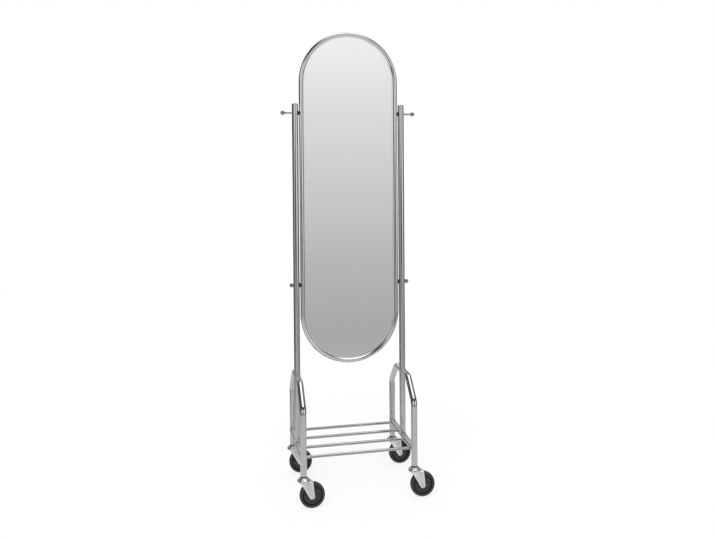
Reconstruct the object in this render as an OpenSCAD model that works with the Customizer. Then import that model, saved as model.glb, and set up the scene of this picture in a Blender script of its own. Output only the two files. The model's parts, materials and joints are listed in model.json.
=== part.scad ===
// Rolling floor mirror: a tube frame on four swivel casters carries a tall mirror with round ends.
// Millimetres. X runs to the right, Y runs from the front to the back, Z runs up from the floor.
// The origin is on the floor, midway between the four legs.

/* [Frame tubes] */
// Outside diameter of posts, hoops, stays and cross tubes
tube_diameter = 25.4; // [20:0.1:32]
// Wall of these tubes
tube_wall = 1.5; // [1:0.1:3]
// Distance from the front legs to the rear legs, centre to centre
leg_spacing = 356; // [280:1:450]
// Height of the horizontal top of each side hoop, tube centre
crown_height = 465.5; // [400:0.5:600]
// Half length of the hoop top, measured to the corner of the centre lines
crown_half_length = 89; // [60:1:110]
// Drop of the slanted shoulder from the hoop top to the leg corner
shoulder_drop = 83; // [60:1:120]
// Radius of every bend in the hoops, at the tube centre
bend_radius = 40; // [36:1:60]
// How much thinner the tube gets where it is bent, on the radius
bend_thinning = 0.05; // [0.02:0.01:0.2]
// Gap left for the weld where a post or a stay meets another tube
weld_gap = 0.1; // [0.05:0.05:0.3]
// Height of the side cross tubes, tube centre
cross_tube_height = 191; // [170:1:260]
// Height from the upper fixings to the top of the post caps
post_above_fixing = 40; // [25:1:80]

/* [Post caps] */
// Rise of the domed post cap above the tube end
cap_rise = 3; // [1:0.5:8]
// Depth of the cap plug inside the post
cap_plug_depth = 14; // [8:1:30]
// Radial gap between the cap plug and the tube
cap_plug_gap = 0.1; // [0.05:0.05:0.3]

/* [Shelf] */
// Diameter of the shelf bars
bar_diameter = 12; // [8:0.5:16]
// Wall of the shelf bars
bar_wall = 1.5; // [1:0.1:2.5]
// Distance between neighbouring shelf bars
bar_pitch = 106; // [70:1:108]

/* [Mirror] */
// Outside width of the mirror frame
mirror_width = 416; // [350:1:520]
// Outside height of the mirror frame
mirror_height = 1378; // [1150:1:1600]
// Height of the middle of the mirror above the floor
mirror_centre_height = 1201; // [1170:0.5:1400]
// Diameter of the mirror frame tube
frame_tube_diameter = 19; // [16:0.5:22]
// Wall of the mirror frame tube
frame_tube_wall = 1.2; // [0.8:0.1:2]
// Width of the lip that shows in front of the glass edge
lip_width = 3.5; // [2:0.1:6]
// Thickness of the lip
lip_thickness = 1.5; // [1:0.1:2.5]
// Depth of the lip's back face, measured forward from the tube centre
lip_back_depth = 0.5; // [0:0.1:1]
// Thickness of the glass
glass_thickness = 4; // [3:0.5:5]
// Thickness of the board behind the glass
board_thickness = 4.8; // [3:0.1:6]
// Gap between the glass edge and the frame tube
glass_edge_gap = 0.4; // [0.2:0.1:1]

/* [Board tabs] */
// Length of each tab that holds the board, across the frame
tab_reach = 20; // [16:1:28]
// Width of each tab
tab_width = 18; // [12:1:26]
// Thickness of each tab
tab_thickness = 1.5; // [1:0.1:2.5]
// Number of tabs along each straight side
tabs_per_side = 3; // [2:1:5]
// Distance from the inner end of a tab to the middle of its screw
tab_screw_inset = 6; // [5:0.5:10]
// Diameter of the tab screws
tab_screw_diameter = 3.5; // [3:0.1:4]
// Diameter of the screw heads
tab_screw_head_diameter = 7; // [6:0.5:9]
// Height of the screw heads
tab_screw_head_height = 1.8; // [1:0.1:2.5]
// Radial gap around each tab screw in its tab
tab_screw_gap = 0.2; // [0.1:0.1:0.5]
// Board left in front of the screw holes
screw_hole_web = 1; // [0.5:0.1:1.5]
// Gap between the tip of a screw and the end of its hole
screw_tip_gap = 0.4; // [0.2:0.1:1]

/* [Mirror fixings] */
// Height of each fixing above or below the level halfway between them
fixing_offset = 354; // [250:1:440]
// Height of the middle of the mirror above this level
fixing_drop = 2.5; // [0:0.5:10]
// Gap between the mirror frame and each post
mirror_gap = 3.3; // [2.5:0.1:12]
// Diameter of the plastic spacers
spacer_diameter = 18; // [16:0.5:18.5]
// Diameter of the threaded studs
stud_diameter = 6; // [5:0.5:6.5]
// How far each stud stops short of the inner end of its insert
stud_end_gap = 1; // [0.5:0.5:3]
// Radial gap around the studs in the posts and spacers
stud_gap = 0.25; // [0.1:0.05:0.5]
// Diameter of the threaded inserts in the mirror frame
insert_nut_diameter = 9; // [8.5:0.5:10]
// Diameter of the insert flange
insert_flange_diameter = 12; // [11:0.5:13]
// Thickness of the insert flange
insert_flange_thickness = 0.8; // [0.5:0.1:1.2]
// Length of each insert from its flange
insert_nut_length = 9; // [7:0.5:12]
// Radial gap between an insert and its hole, and between a stud and its thread
insert_gap = 0.05; // [0.03:0.01:0.1]

/* [Coat hooks and knobs] */
// Diameter of the hook rods
hook_rod_diameter = 7; // [6.9:0.1:9]
// Distance from the post centre to the middle of the hook ball
hook_reach = 50.5; // [40:0.5:90]
// Diameter of the hook balls
hook_ball_diameter = 18; // [14:0.5:24]
// Distance from the post centre to the middle of the knob ball
knob_reach = 20; // [18:0.5:24]
// Diameter of the knob balls
knob_ball_diameter = 18; // [16:0.5:22]

/* [Caster wheels] */
// Diameter of the wheels over the tyre
wheel_diameter = 100; // [80:1:125]
// Width of the tyre
tyre_width = 24; // [20:0.5:30]
// Radial thickness of the tyre
tyre_thickness = 12; // [8:0.5:16]
// Radius of the rounded tread, seen across the wheel
tread_round_radius = 40; // [26:1:60]
// Depth of the step in the side of the tyre next to the rim
tyre_step_depth = 2; // [1:0.5:4]
// Width of this step
tyre_step_width = 2.5; // [1:0.5:4]
// Half width of the wheel rim under the tyre
rim_half_width = 10; // [8:0.5:11]
// Radial thickness of the rim
rim_thickness = 6; // [4:0.5:9]
// Thickness of the web between rim and hub
web_thickness = 6; // [4:0.5:10]
// Number of stiffening ribs on each face
rib_count = 8; // [4:1:12]
// Thickness of the ribs
rib_thickness = 3; // [2:0.5:5]
// Half width over the ribs
rib_half_width = 7.5; // [6:0.5:9]
// Diameter of the hub
hub_diameter = 21; // [18:0.5:26]
// Side gap between the hub and the fork
hub_side_gap = 0.5; // [0.3:0.1:1]
// Running gap between the wheel bore and its sleeve, radial
wheel_running_gap = 0.08; // [0.04:0.01:0.1]

/* [Caster forks] */
// Horizontal distance from the leg centre to the wheel axle
trail = 33; // [28:0.5:40]
// Gap between the top of the tyre and the fork
tyre_top_gap = 3.5; // [1:0.5:5]
// Gap between the side of the tyre and the fork
tyre_side_gap = 1.5; // [1:0.1:4]
// Thickness of the fork sheet
fork_sheet = 2.5; // [2:0.1:3.5]
// Radius of the bends from the fork's top into its sides, outside
fork_bend_radius = 6; // [4:0.5:7]
// Distance from the leg centre to the front edge of the fork, at the top
fork_front = 14.5; // [12:0.5:18]
// Distance from the axle to the rear edge of the fork, at the top
fork_rear = 2; // [0:0.5:8]
// Radius of the rounded lower end of the fork
fork_end_radius = 10.5; // [10:0.5:13]
// Forward shift of this rounded end from the axle
fork_end_shift = 2; // [0:0.5:2.5]
// Height of the axle above the centre of this rounded end
fork_end_drop = 2.5; // [0:0.5:3]
// Radius of the round crown of the fork
fork_crown_radius = 23; // [22:0.5:24]
// Diameter of the axle
axle_diameter = 8; // [6:0.5:9]
// Diameter of the axle heads
axle_head_diameter = 12; // [11:0.5:13]
// Thickness of the axle heads
axle_head_thickness = 1.8; // [1:0.1:3]
// Diameter of the dimple in each axle end
axle_dimple_diameter = 4.8; // [3:0.1:5.5]
// Depth of this dimple
axle_dimple_depth = 1; // [0.5:0.1:2]
// Outside diameter of the axle sleeve
sleeve_diameter = 12; // [11:0.5:13]
// Radial gap between the axle and its holes
axle_gap = 0.05; // [0.03:0.01:0.1]

/* [Caster swivels] */
// Radius of the bearing cap
race_cap_radius = 25; // [24.5:0.5:30]
// Height of the bearing cap above the fork
race_cap_rise = 12.5; // [11:0.5:16]
// Radius of the rounded shoulder of the bearing cap
race_cap_shoulder = 9; // [7:0.5:10.5]
// Height of the cone on the bearing cap, up to the plastic ring
race_cone_rise = 3; // [2:0.5:6]
// Radius of the top of this cone
race_cone_radius = 13.5; // [13:0.1:15]
// Wall of the bearing cap's skirt
race_cap_skirt = 2.4; // [1.5:0.1:3]
// Diameter of the bearing balls
ball_diameter = 6; // [5:0.5:6.5]
// Radius of the ring of balls
ball_ring_radius = 17; // [16:0.5:18]
// Number of balls in each ring
ball_count = 14; // [8:1:15]
// Gap above and below the balls
ball_gap = 0.05; // [0.03:0.01:0.1]
// Diameter of the swivel pin in the fork
swivel_pin_diameter = 10; // [8:0.5:12]
// Running gap around the swivel pin, radial
swivel_running_gap = 0.08; // [0.04:0.01:0.1]
// Gap between the fixed and the turning parts of the swivel
swivel_face_gap = 0.4; // [0.3:0.1:0.8]
// Radius of the collar inside the bearing cap
collar_radius = 10; // [8:0.5:12]
// Diameter of the head under the fork
swivel_head_diameter = 18; // [14:0.5:20]
// Thickness of this head
swivel_head_thickness = 3; // [2:0.5:4]
// Diameter of the stem in the leg
stem_diameter = 11; // [9:0.5:12]
// Length of the stem inside the leg
stem_length = 32; // [20:1:40]
// Thickness of the plastic ring under the leg
leg_ring_thickness = 5; // [3:0.5:8]
// Height of the plastic plug inside the leg
leg_plug_height = 40; // [25:1:45]
// Radial gap between the plug and the leg, and between the stem and the plug
plug_gap = 0.1; // [0.05:0.05:0.2]

/* [Hidden] */
$fn = 96;
// How far the shapes of one solid run into each other
lap = 0.5;
tube_r = tube_diameter / 2;
tube_bore_r = tube_r - tube_wall;
post_x = mirror_width / 2 + mirror_gap + tube_r;
leg_y = leg_spacing / 2;
frame_r = frame_tube_diameter / 2;
frame_bore_r = frame_r - frame_tube_wall;
frame_x = mirror_width / 2 - frame_r;
frame_arc_rise = mirror_height / 2 - mirror_width / 2;
// Outer face of the insert flanges, and the gap round them in the spacers
flange_end_x = frame_x + frame_r + insert_flange_thickness;
flange_gap = 0.1;
upper_fixing_z = mirror_centre_height - fixing_drop + fixing_offset;
lower_fixing_z = mirror_centre_height - fixing_drop - fixing_offset;
post_end_z = upper_fixing_z + post_above_fixing - cap_rise;
cap_ball_r = (tube_r * tube_r + cap_rise * cap_rise) / (2 * cap_rise);

// Hoop bends: angle of the shoulder from the vertical, and the tangent lengths of both bends
shoulder_run = leg_y - crown_half_length;
shoulder_angle = atan2(shoulder_run, shoulder_drop);
// How far the straight tube runs into each bend, so that the pieces join
bend_lap = 0.2;
leg_tangent = bend_radius * tan(shoulder_angle / 2);
crown_tangent = bend_radius * tan((90 - shoulder_angle) / 2);
leg_bend_z = crown_height - shoulder_drop - leg_tangent;
crown_bend_y = crown_half_length - crown_tangent;
shoulder_length = norm([shoulder_run, shoulder_drop]) - leg_tangent - crown_tangent;

// Glass and board
glass_front_y = -lip_back_depth;
glass_back_y = glass_front_y + glass_thickness;
board_back_y = glass_back_y + board_thickness;
tab_back_y = board_back_y + tab_thickness;
screw_tip_y = glass_back_y + screw_hole_web + screw_tip_gap;
glass_r = frame_x - frame_r - glass_edge_gap;
lip_inner_r = frame_x - frame_r - lip_width;
tab_outer_r = frame_x - 1;
tab_inner_r = tab_outer_r - tab_reach;
tab_screw_r = tab_inner_r + tab_screw_inset;

// Casters
axle_z = wheel_diameter / 2;
fork_under_z = wheel_diameter + tyre_top_gap;
fork_top_z = fork_under_z + fork_sheet;
fork_inner_y = tyre_width / 2 + tyre_side_gap;
fork_outer_y = fork_inner_y + fork_sheet;
axle_end_y = fork_outer_y + axle_head_thickness;
race_roof_z = fork_top_z + ball_diameter + 2 * ball_gap;
race_low_z = fork_top_z + swivel_face_gap;
race_cap_top_z = fork_top_z + race_cap_rise;
race_flat_r = race_cap_radius - race_cap_shoulder;
race_shoulder_z = race_cap_top_z - race_cap_shoulder;
race_cone_top_z = race_cap_top_z + race_cone_rise;
leg_end_z = race_cone_top_z + leg_ring_thickness;
rim_r = wheel_diameter / 2 - tyre_thickness;
rim_bore_r = rim_r - rim_thickness;
hub_r = hub_diameter / 2;
hub_half_width = fork_inner_y - hub_side_gap;
wheel_bore_r = sleeve_diameter / 2 + wheel_running_gap;

// Fork outline: tangent points of its straight edges on the rounded lower end
fork_end_x = trail - fork_end_shift;
fork_end_z = axle_z - fork_end_drop;
fork_rear_x = trail + fork_rear;
front_reach = norm([fork_end_x + fork_front, fork_top_z - fork_end_z]);
front_lean = atan2(fork_top_z - fork_end_z, -fork_front - fork_end_x);
front_touch = front_lean + acos(fork_end_radius / front_reach);
rear_reach = norm([fork_rear_x - fork_end_x, fork_top_z - fork_end_z]);
rear_lean = atan2(fork_top_z - fork_end_z, fork_rear_x - fork_end_x);
rear_touch = rear_lean - acos(fork_end_radius / rear_reach);

// ---------- helpers ----------

// Round bar along Y
module bar_y(r, y1, y2) {
  translate([0, y1, 0])
    rotate([-90, 0, 0])
      cylinder(r = r, h = y2 - y1);
}

// Round bar along X
module bar_x(r, x1, x2) {
  translate([x1, 0, 0])
    rotate([0, 90, 0])
      cylinder(r = r, h = x2 - x1);
}

// Half of a hoop, from the middle of its top to the end of one leg, as a solid bar in a flat plane
module hoop_half(r, low_end) {
  translate([leg_y, low_end, 0])
    rotate([-90, 0, 0])
      cylinder(r = r, h = leg_bend_z + bend_lap - low_end);
  translate([leg_y - bend_radius, leg_bend_z, 0])
    rotate_extrude(angle = shoulder_angle)
      translate([bend_radius, 0])
        circle(r = r - bend_thinning);
  translate([leg_y - bend_radius, leg_bend_z, 0])
    rotate([0, 0, shoulder_angle])
      translate([bend_radius, -bend_lap, 0])
        rotate([-90, 0, 0])
          cylinder(r = r, h = shoulder_length + 2 * bend_lap);
  translate([crown_bend_y, crown_height - bend_radius, 0])
    rotate([0, 0, shoulder_angle])
      rotate_extrude(angle = 90 - shoulder_angle)
        translate([bend_radius, 0])
          circle(r = r - bend_thinning);
}

// Whole hoop as a solid bar, standing up, with both legs along Z
module hoop_bar(r, low_end) {
  rotate([90, 0, 90])
    union() {
      hoop_half(r, low_end);
      mirror([1, 0, 0])
        hoop_half(r, low_end);
      translate([-crown_bend_y - bend_lap, crown_height, 0])
        rotate([0, 90, 0])
          cylinder(r = r, h = 2 * crown_bend_y + 2 * bend_lap);
    }
}

// Flat plate with straight sides and two round ends, standing upright, between two depths
module round_ended_plate(r, y1, y2) {
  translate([0, y2, mirror_centre_height])
    rotate([90, 0, 0])
      linear_extrude(height = y2 - y1)
        union() {
          translate([-r, -frame_arc_rise])
            square([2 * r, 2 * frame_arc_rise]);
          translate([0, frame_arc_rise])
            circle(r = r);
          translate([0, -frame_arc_rise])
            circle(r = r);
        }
}

// Solid round bar bent to the shape of the mirror frame
module frame_bar(r) {
  translate([0, 0, mirror_centre_height])
    rotate([90, 0, 0])
      union() {
        for (side = [-1, 1])
          translate([side * frame_x, -frame_arc_rise, 0])
            rotate([-90, 0, 0])
              cylinder(r = r, h = 2 * frame_arc_rise);
        translate([0, frame_arc_rise, 0])
          rotate_extrude(angle = 180)
            translate([frame_x, 0])
              circle(r = r);
        translate([0, -frame_arc_rise, 0])
          rotate([0, 0, 180])
            rotate_extrude(angle = 180)
              translate([frame_x, 0])
                circle(r = r);
      }
}

// Moves a part to one of the four legs
module at_leg(side, end) {
  translate([side * post_x, end * leg_y, 0])
    children();
}

// Repeats a part at the four legs
module at_each_leg() {
  for (side = [-1, 1])
    for (end = [-1, 1])
      at_leg(side, end)
        children();
}

// Repeats a part at the fixings of one side, turned so that its own X points outward
module at_fixing(side, z) {
  if (side > 0)
    translate([0, 0, z])
      children();
  else
    mirror([1, 0, 0])
      translate([0, 0, z])
        children();
}

// ---------- tube frame ----------

// Upright post: saddle cut foot on the hoop, cross holes for the two studs
module post(side) {
  color([0.78, 0.79, 0.80])
    difference() {
      translate([side * post_x, 0, crown_height])
        cylinder(r = tube_r, h = post_end_z - crown_height);
      translate([side * post_x, 0, crown_height - 1])
        cylinder(r = tube_bore_r, h = post_end_z - crown_height + 2);
      translate([side * post_x, 0, crown_height])
        bar_y(tube_r + weld_gap, -tube_diameter, tube_diameter);
      for (z = [lower_fixing_z, upper_fixing_z])
        translate([side * post_x, 0, z])
          bar_x(stud_diameter / 2 + stud_gap, -tube_diameter, tube_diameter);
    }
}

// Domed cap with a plug
module post_cap(side) {
  color([0.80, 0.81, 0.82])
    translate([side * post_x, 0, post_end_z])
      union() {
        intersection() {
          translate([0, 0, cap_rise - cap_ball_r])
            sphere(r = cap_ball_r);
          cylinder(r = tube_r, h = cap_rise + 1);
        }
        translate([0, 0, -cap_plug_depth])
          cylinder(r = tube_bore_r - cap_plug_gap, h = cap_plug_depth + 0.2);
      }
}

// Side hoop: one bent tube with two legs
module hoop(side) {
  color([0.77, 0.78, 0.79])
    translate([side * post_x, 0, 0])
      difference() {
        hoop_bar(tube_r, leg_end_z);
        hoop_bar(tube_bore_r, leg_end_z - 1);
      }
}

// Short tube from the hoop down to the side cross tube
module stay(side) {
  color([0.76, 0.77, 0.78])
    translate([side * post_x, 0, 0])
      difference() {
        translate([0, 0, cross_tube_height])
          cylinder(r = tube_r, h = crown_height - cross_tube_height);
        translate([0, 0, cross_tube_height - 1])
          cylinder(r = tube_bore_r, h = crown_height - cross_tube_height + 2);
        translate([0, 0, crown_height])
          bar_y(tube_r + weld_gap, -tube_diameter, tube_diameter);
        translate([0, 0, cross_tube_height])
          bar_y(tube_r + weld_gap, -tube_diameter, tube_diameter);
      }
}

// Side cross tube between the front leg and the rear leg
module cross_tube(side) {
  color([0.75, 0.76, 0.77])
    translate([side * post_x, 0, 0])
      difference() {
        translate([0, 0, cross_tube_height])
          bar_y(tube_r, -leg_y, leg_y);
        translate([0, 0, cross_tube_height])
          bar_y(tube_bore_r, -leg_y - 1, leg_y + 1);
        for (end = [-1, 1])
          translate([0, end * leg_y, cross_tube_height - tube_diameter])
            cylinder(r = tube_r + weld_gap, h = 2 * tube_diameter);
      }
}

// Shelf bar between the two side cross tubes, counted from the rear
module shelf_bar(place) {
  color([0.74, 0.75, 0.76])
    translate([0, (2.5 - place) * bar_pitch, cross_tube_height])
      difference() {
        bar_x(bar_diameter / 2, -post_x, post_x);
        bar_x(bar_diameter / 2 - bar_wall, -post_x - 1, post_x + 1);
        for (side = [-1, 1])
          translate([side * post_x, 0, 0])
            bar_y(tube_r, -tube_diameter, tube_diameter);
      }
}

module left_post() { post(-1); }
module right_post() { post(1); }
module left_post_cap() { post_cap(-1); }
module right_post_cap() { post_cap(1); }
module left_hoop() { hoop(-1); }
module right_hoop() { hoop(1); }
module left_stay() { stay(-1); }
module right_stay() { stay(1); }
module left_cross_tube() { cross_tube(-1); }
module right_cross_tube() { cross_tube(1); }
module shelf_bar_1() { shelf_bar(1); }
module shelf_bar_2() { shelf_bar(2); }
module shelf_bar_3() { shelf_bar(3); }
module shelf_bar_4() { shelf_bar(4); }

// ---------- mirror ----------

// Bent tube round the glass, with four holes for the threaded inserts
module mirror_frame() {
  color([0.80, 0.81, 0.82])
    difference() {
      frame_bar(frame_r);
      frame_bar(frame_bore_r);
      for (side = [-1, 1])
        for (z = [lower_fixing_z, upper_fixing_z])
          at_fixing(side, z)
            bar_x(insert_nut_diameter / 2 + insert_gap, frame_x, frame_x + frame_tube_diameter);
    }
}

// Thin lip on the inside of the frame tube, in front of the glass edge
module mirror_lip() {
  color([0.88, 0.89, 0.90])
    difference() {
      round_ended_plate(frame_x, glass_front_y - lip_thickness, glass_front_y);
      round_ended_plate(lip_inner_r, glass_front_y - lip_thickness - 1, glass_front_y + 1);
      frame_bar(frame_r);
    }
}

// Glass
module mirror_glass() {
  color([0.72, 0.75, 0.77])
    round_ended_plate(glass_r, glass_front_y, glass_back_y);
}

// Where the board tabs sit: the sides first, then the middle of each end
module at_each_tab() {
  for (side = [0, 180])
    for (i = [0 : tabs_per_side - 1])
      translate([0, 0, mirror_centre_height])
        rotate([0, side, 0])
          translate([0, 0, frame_arc_rise * (2 * i / (tabs_per_side - 1) - 1)])
            children();
  for (turn = [-90, 90])
    translate([0, 0, mirror_centre_height - sign(turn) * frame_arc_rise])
      rotate([0, turn, 0])
        children();
}

// Board behind the glass, with a pilot hole for each tab screw
module backing_board() {
  color([0.42, 0.31, 0.22])
    difference() {
      round_ended_plate(glass_r, glass_back_y, board_back_y);
      at_each_tab()
        translate([tab_screw_r, 0, 0])
          bar_y(tab_screw_diameter / 2, glass_back_y + screw_hole_web, board_back_y + 1);
    }
}

// Tabs welded to the back of the frame tube, lying on the board
module board_tabs() {
  color([0.62, 0.63, 0.65])
    difference() {
      at_each_tab()
        translate([tab_inner_r, board_back_y, -tab_width / 2])
          cube([tab_reach, tab_thickness, tab_width]);
      at_each_tab()
        translate([tab_screw_r, 0, 0])
          bar_y(tab_screw_diameter / 2 + tab_screw_gap, board_back_y - 1, tab_back_y + 1);
      frame_bar(frame_r);
    }
}

// Screws through the tabs into the board
module board_screws() {
  color([0.55, 0.56, 0.58])
    at_each_tab()
      translate([tab_screw_r, 0, 0])
        union() {
          bar_y(tab_screw_head_diameter / 2, tab_back_y, tab_back_y + tab_screw_head_height);
          bar_y(tab_screw_diameter / 2, screw_tip_y, tab_back_y + lap);
        }
}

// ---------- mirror fixings ----------

// Plastic spacers between the mirror frame and the posts, hollowed to fit both tubes
module spacers() {
  color([0.05, 0.05, 0.05])
    for (side = [-1, 1])
      for (z = [lower_fixing_z, upper_fixing_z])
        at_fixing(side, z)
          difference() {
            bar_x(spacer_diameter / 2, frame_x + 1, post_x - 2);
            bar_x(stud_diameter / 2 + stud_gap, frame_x, post_x);
            bar_x(insert_flange_diameter / 2 + flange_gap, frame_x, flange_end_x + flange_gap);
            translate([frame_x, 0, -spacer_diameter])
              cylinder(r = frame_r, h = 2 * spacer_diameter);
            translate([post_x, 0, -spacer_diameter])
              cylinder(r = tube_r, h = 2 * spacer_diameter);
          }
}

// Threaded inserts in the mirror frame
module insert_nuts() {
  color([0.70, 0.66, 0.45])
    for (side = [-1, 1])
      for (z = [lower_fixing_z, upper_fixing_z])
        at_fixing(side, z)
          difference() {
            union() {
              insert_flange();
              bar_x(insert_nut_diameter / 2, frame_x + frame_r - insert_nut_length, frame_x + frame_r);
            }
            bar_x(stud_diameter / 2 + insert_gap, frame_x - frame_r, post_x);
          }
}

// Flange of an insert, hollowed to lie on the frame tube
module insert_flange() {
  difference() {
    bar_x(insert_flange_diameter / 2, frame_x + frame_r / 2, flange_end_x);
    translate([frame_x, 0, -insert_flange_diameter])
      cylinder(r = frame_r, h = 2 * insert_flange_diameter);
  }
}

// Stud that runs from outside the post into the insert
module stud() {
  bar_x(stud_diameter / 2, frame_x + frame_r - insert_nut_length + stud_end_gap, post_x + tube_r + lap);
}

// Coat hook: a rod with a ball end, drawn tight against the post by its stud
module coat_hook(side) {
  color([0.80, 0.81, 0.82])
    at_fixing(side, upper_fixing_z)
      union() {
        stud();
        difference() {
          bar_x(hook_rod_diameter / 2, post_x + tube_r / 2, post_x + hook_reach);
          translate([post_x, 0, -tube_diameter])
            cylinder(r = tube_r, h = 2 * tube_diameter);
        }
        translate([post_x + hook_reach, 0, 0])
          sphere(r = hook_ball_diameter / 2);
      }
}

// Ball knob of a lower fixing, seated on the post
module clamp_knob(side) {
  color([0.80, 0.81, 0.82])
    at_fixing(side, lower_fixing_z)
      union() {
        stud();
        difference() {
          translate([post_x + knob_reach, 0, 0])
            sphere(r = knob_ball_diameter / 2);
          translate([post_x, 0, -tube_diameter])
            cylinder(r = tube_r, h = 2 * tube_diameter);
        }
      }
}

module left_coat_hook() { coat_hook(-1); }
module right_coat_hook() { coat_hook(1); }
module left_clamp_knob() { clamp_knob(-1); }
module right_clamp_knob() { clamp_knob(1); }

// ---------- caster parts that stay with the frame ----------

// Plastic plugs in the leg ends, each with a ring under the leg
module leg_plugs() {
  color([0.06, 0.06, 0.06])
    at_each_leg()
      difference() {
        union() {
          translate([0, 0, race_cone_top_z])
            cylinder(r = tube_r, h = leg_ring_thickness);
          translate([0, 0, leg_end_z - lap])
            cylinder(r = tube_bore_r - plug_gap, h = leg_plug_height + lap);
        }
        translate([0, 0, race_cone_top_z - 1])
          cylinder(r = stem_diameter / 2 + plug_gap, h = leg_plug_height + leg_ring_thickness + 2);
      }
}

// Rings of balls between the bearing caps and the forks
module bearing_balls() {
  color([0.70, 0.71, 0.73])
    at_each_leg()
      for (i = [0 : ball_count - 1])
        rotate([0, 0, i * 360 / ball_count])
          translate([ball_ring_radius, 0, fork_top_z + ball_gap + ball_diameter / 2])
            sphere(r = ball_diameter / 2);
}

// Stem: plain shank in the leg, collar, swivel pin and the head under the fork
module stem() {
  color([0.68, 0.69, 0.71])
    union() {
      translate([0, 0, race_roof_z])
        cylinder(r = stem_diameter / 2, h = leg_end_z + stem_length - race_roof_z);
      translate([0, 0, fork_top_z + swivel_face_gap])
        cylinder(r = collar_radius, h = race_roof_z - fork_top_z - swivel_face_gap);
      translate([0, 0, fork_under_z - swivel_face_gap - lap])
        cylinder(r = swivel_pin_diameter / 2, h = fork_sheet + 2 * swivel_face_gap + 2 * lap);
      translate([0, 0, fork_under_z - swivel_face_gap - swivel_head_thickness])
        cylinder(r = swivel_head_diameter / 2, h = swivel_head_thickness);
    }
}

// Half section of the bearing cap, filled: cone under the leg, round shoulder and short skirt
module race_cap_section() {
  polygon([
    [0, race_cap_top_z - lap],
    [race_flat_r, race_cap_top_z - lap],
    [race_flat_r, race_cap_top_z],
    [race_cone_radius, race_cone_top_z],
    [0, race_cone_top_z]
  ]);
  translate([0, race_low_z])
    square([race_flat_r, race_cap_top_z - race_low_z]);
  translate([0, race_low_z])
    square([race_cap_radius, race_shoulder_z - race_low_z]);
  intersection() {
    translate([race_flat_r, race_shoulder_z])
      circle(r = race_cap_shoulder);
    translate([0, race_low_z])
      square([race_cap_radius, race_cap_rise]);
  }
}

// Bearing cap, open underneath for the balls, with a hole for the stem
module race_cap() {
  color([0.80, 0.81, 0.82])
    rotate_extrude()
      difference() {
        race_cap_section();
        translate([-1, race_low_z - 1])
          square([stem_diameter / 2 + plug_gap + 1, race_cap_rise + race_cone_rise + 2]);
        translate([-1, race_low_z - 1])
          square([race_cap_radius - race_cap_skirt + 1, race_roof_z - race_low_z + 1]);
      }
}

module stem_front_left() { at_leg(-1, -1) stem(); }
module stem_front_right() { at_leg(1, -1) stem(); }
module stem_rear_left() { at_leg(-1, 1) stem(); }
module stem_rear_right() { at_leg(1, 1) stem(); }
module race_cap_front_left() { at_leg(-1, -1) race_cap(); }
module race_cap_front_right() { at_leg(1, -1) race_cap(); }
module race_cap_rear_left() { at_leg(-1, 1) race_cap(); }
module race_cap_rear_right() { at_leg(1, 1) race_cap(); }

// ---------- caster parts that swivel ----------

// Side outline of the fork
module fork_outline() {
  union() {
    translate([fork_end_x, fork_end_z])
      circle(r = fork_end_radius);
    polygon([
      [-fork_front, fork_top_z],
      [fork_end_x + fork_end_radius * cos(front_touch), fork_end_z + fork_end_radius * sin(front_touch)],
      [fork_end_x, fork_end_z],
      [fork_end_x + fork_end_radius * cos(rear_touch), fork_end_z + fork_end_radius * sin(rear_touch)],
      [fork_rear_x, fork_top_z]
    ]);
  }
}

// Upright block with rounded upper corners, seen along the direction in which the caster trails
module rounded_block(half_width, top, radius) {
  union() {
    translate([-half_width, 0])
      square([2 * half_width, top - radius]);
    translate([radius - half_width, 0])
      square([2 * (half_width - radius), top]);
    for (side = [-1, 1])
      translate([side * (half_width - radius), top - radius])
        circle(r = radius);
  }
}

// Sheet bent into a channel that is open underneath
module fork_channel() {
  translate([-fork_front - 1, 0, 0])
    rotate([90, 0, 90])
      linear_extrude(height = fork_front + fork_rear_x + 2)
        difference() {
          rounded_block(fork_outer_y, fork_top_z, fork_bend_radius);
          translate([0, -1])
            rounded_block(fork_inner_y, fork_under_z + 1, fork_bend_radius - fork_sheet);
        }
}

// Pressed steel fork
module fork() {
  color([0.79, 0.80, 0.81])
    difference() {
      union() {
        intersection() {
          fork_channel();
          translate([0, fork_outer_y + 1, 0])
            rotate([90, 0, 0])
              linear_extrude(height = 2 * fork_outer_y + 2)
                fork_outline();
        }
        translate([0, 0, fork_under_z])
          cylinder(r = fork_crown_radius, h = fork_sheet);
      }
      translate([0, 0, fork_under_z - 1])
        cylinder(r = swivel_pin_diameter / 2 + swivel_running_gap, h = fork_sheet + 2);
      translate([trail, 0, axle_z])
        bar_y(axle_diameter / 2 + axle_gap, -fork_outer_y - 1, fork_outer_y + 1);
    }
}

// Axle with a flat head on each side and a dimple in the outer faces
module axle() {
  color([0.72, 0.73, 0.75])
    translate([trail, 0, axle_z])
      difference() {
        union() {
          bar_y(axle_diameter / 2, -fork_outer_y - lap, fork_outer_y + lap);
          bar_y(axle_head_diameter / 2, fork_outer_y, axle_end_y);
          bar_y(axle_head_diameter / 2, -axle_end_y, -fork_outer_y);
        }
        bar_y(axle_dimple_diameter / 2, axle_end_y - axle_dimple_depth, axle_end_y + 1);
        bar_y(axle_dimple_diameter / 2, -axle_end_y - 1, axle_dimple_depth - axle_end_y);
      }
}

// Sleeve on the axle, between the two fork sides
module axle_sleeve() {
  color([0.66, 0.67, 0.69])
    translate([trail, 0, axle_z])
      difference() {
        bar_y(sleeve_diameter / 2, -fork_inner_y, fork_inner_y);
        bar_y(axle_diameter / 2 + axle_gap, -fork_inner_y - 1, fork_inner_y + 1);
      }
}

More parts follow.
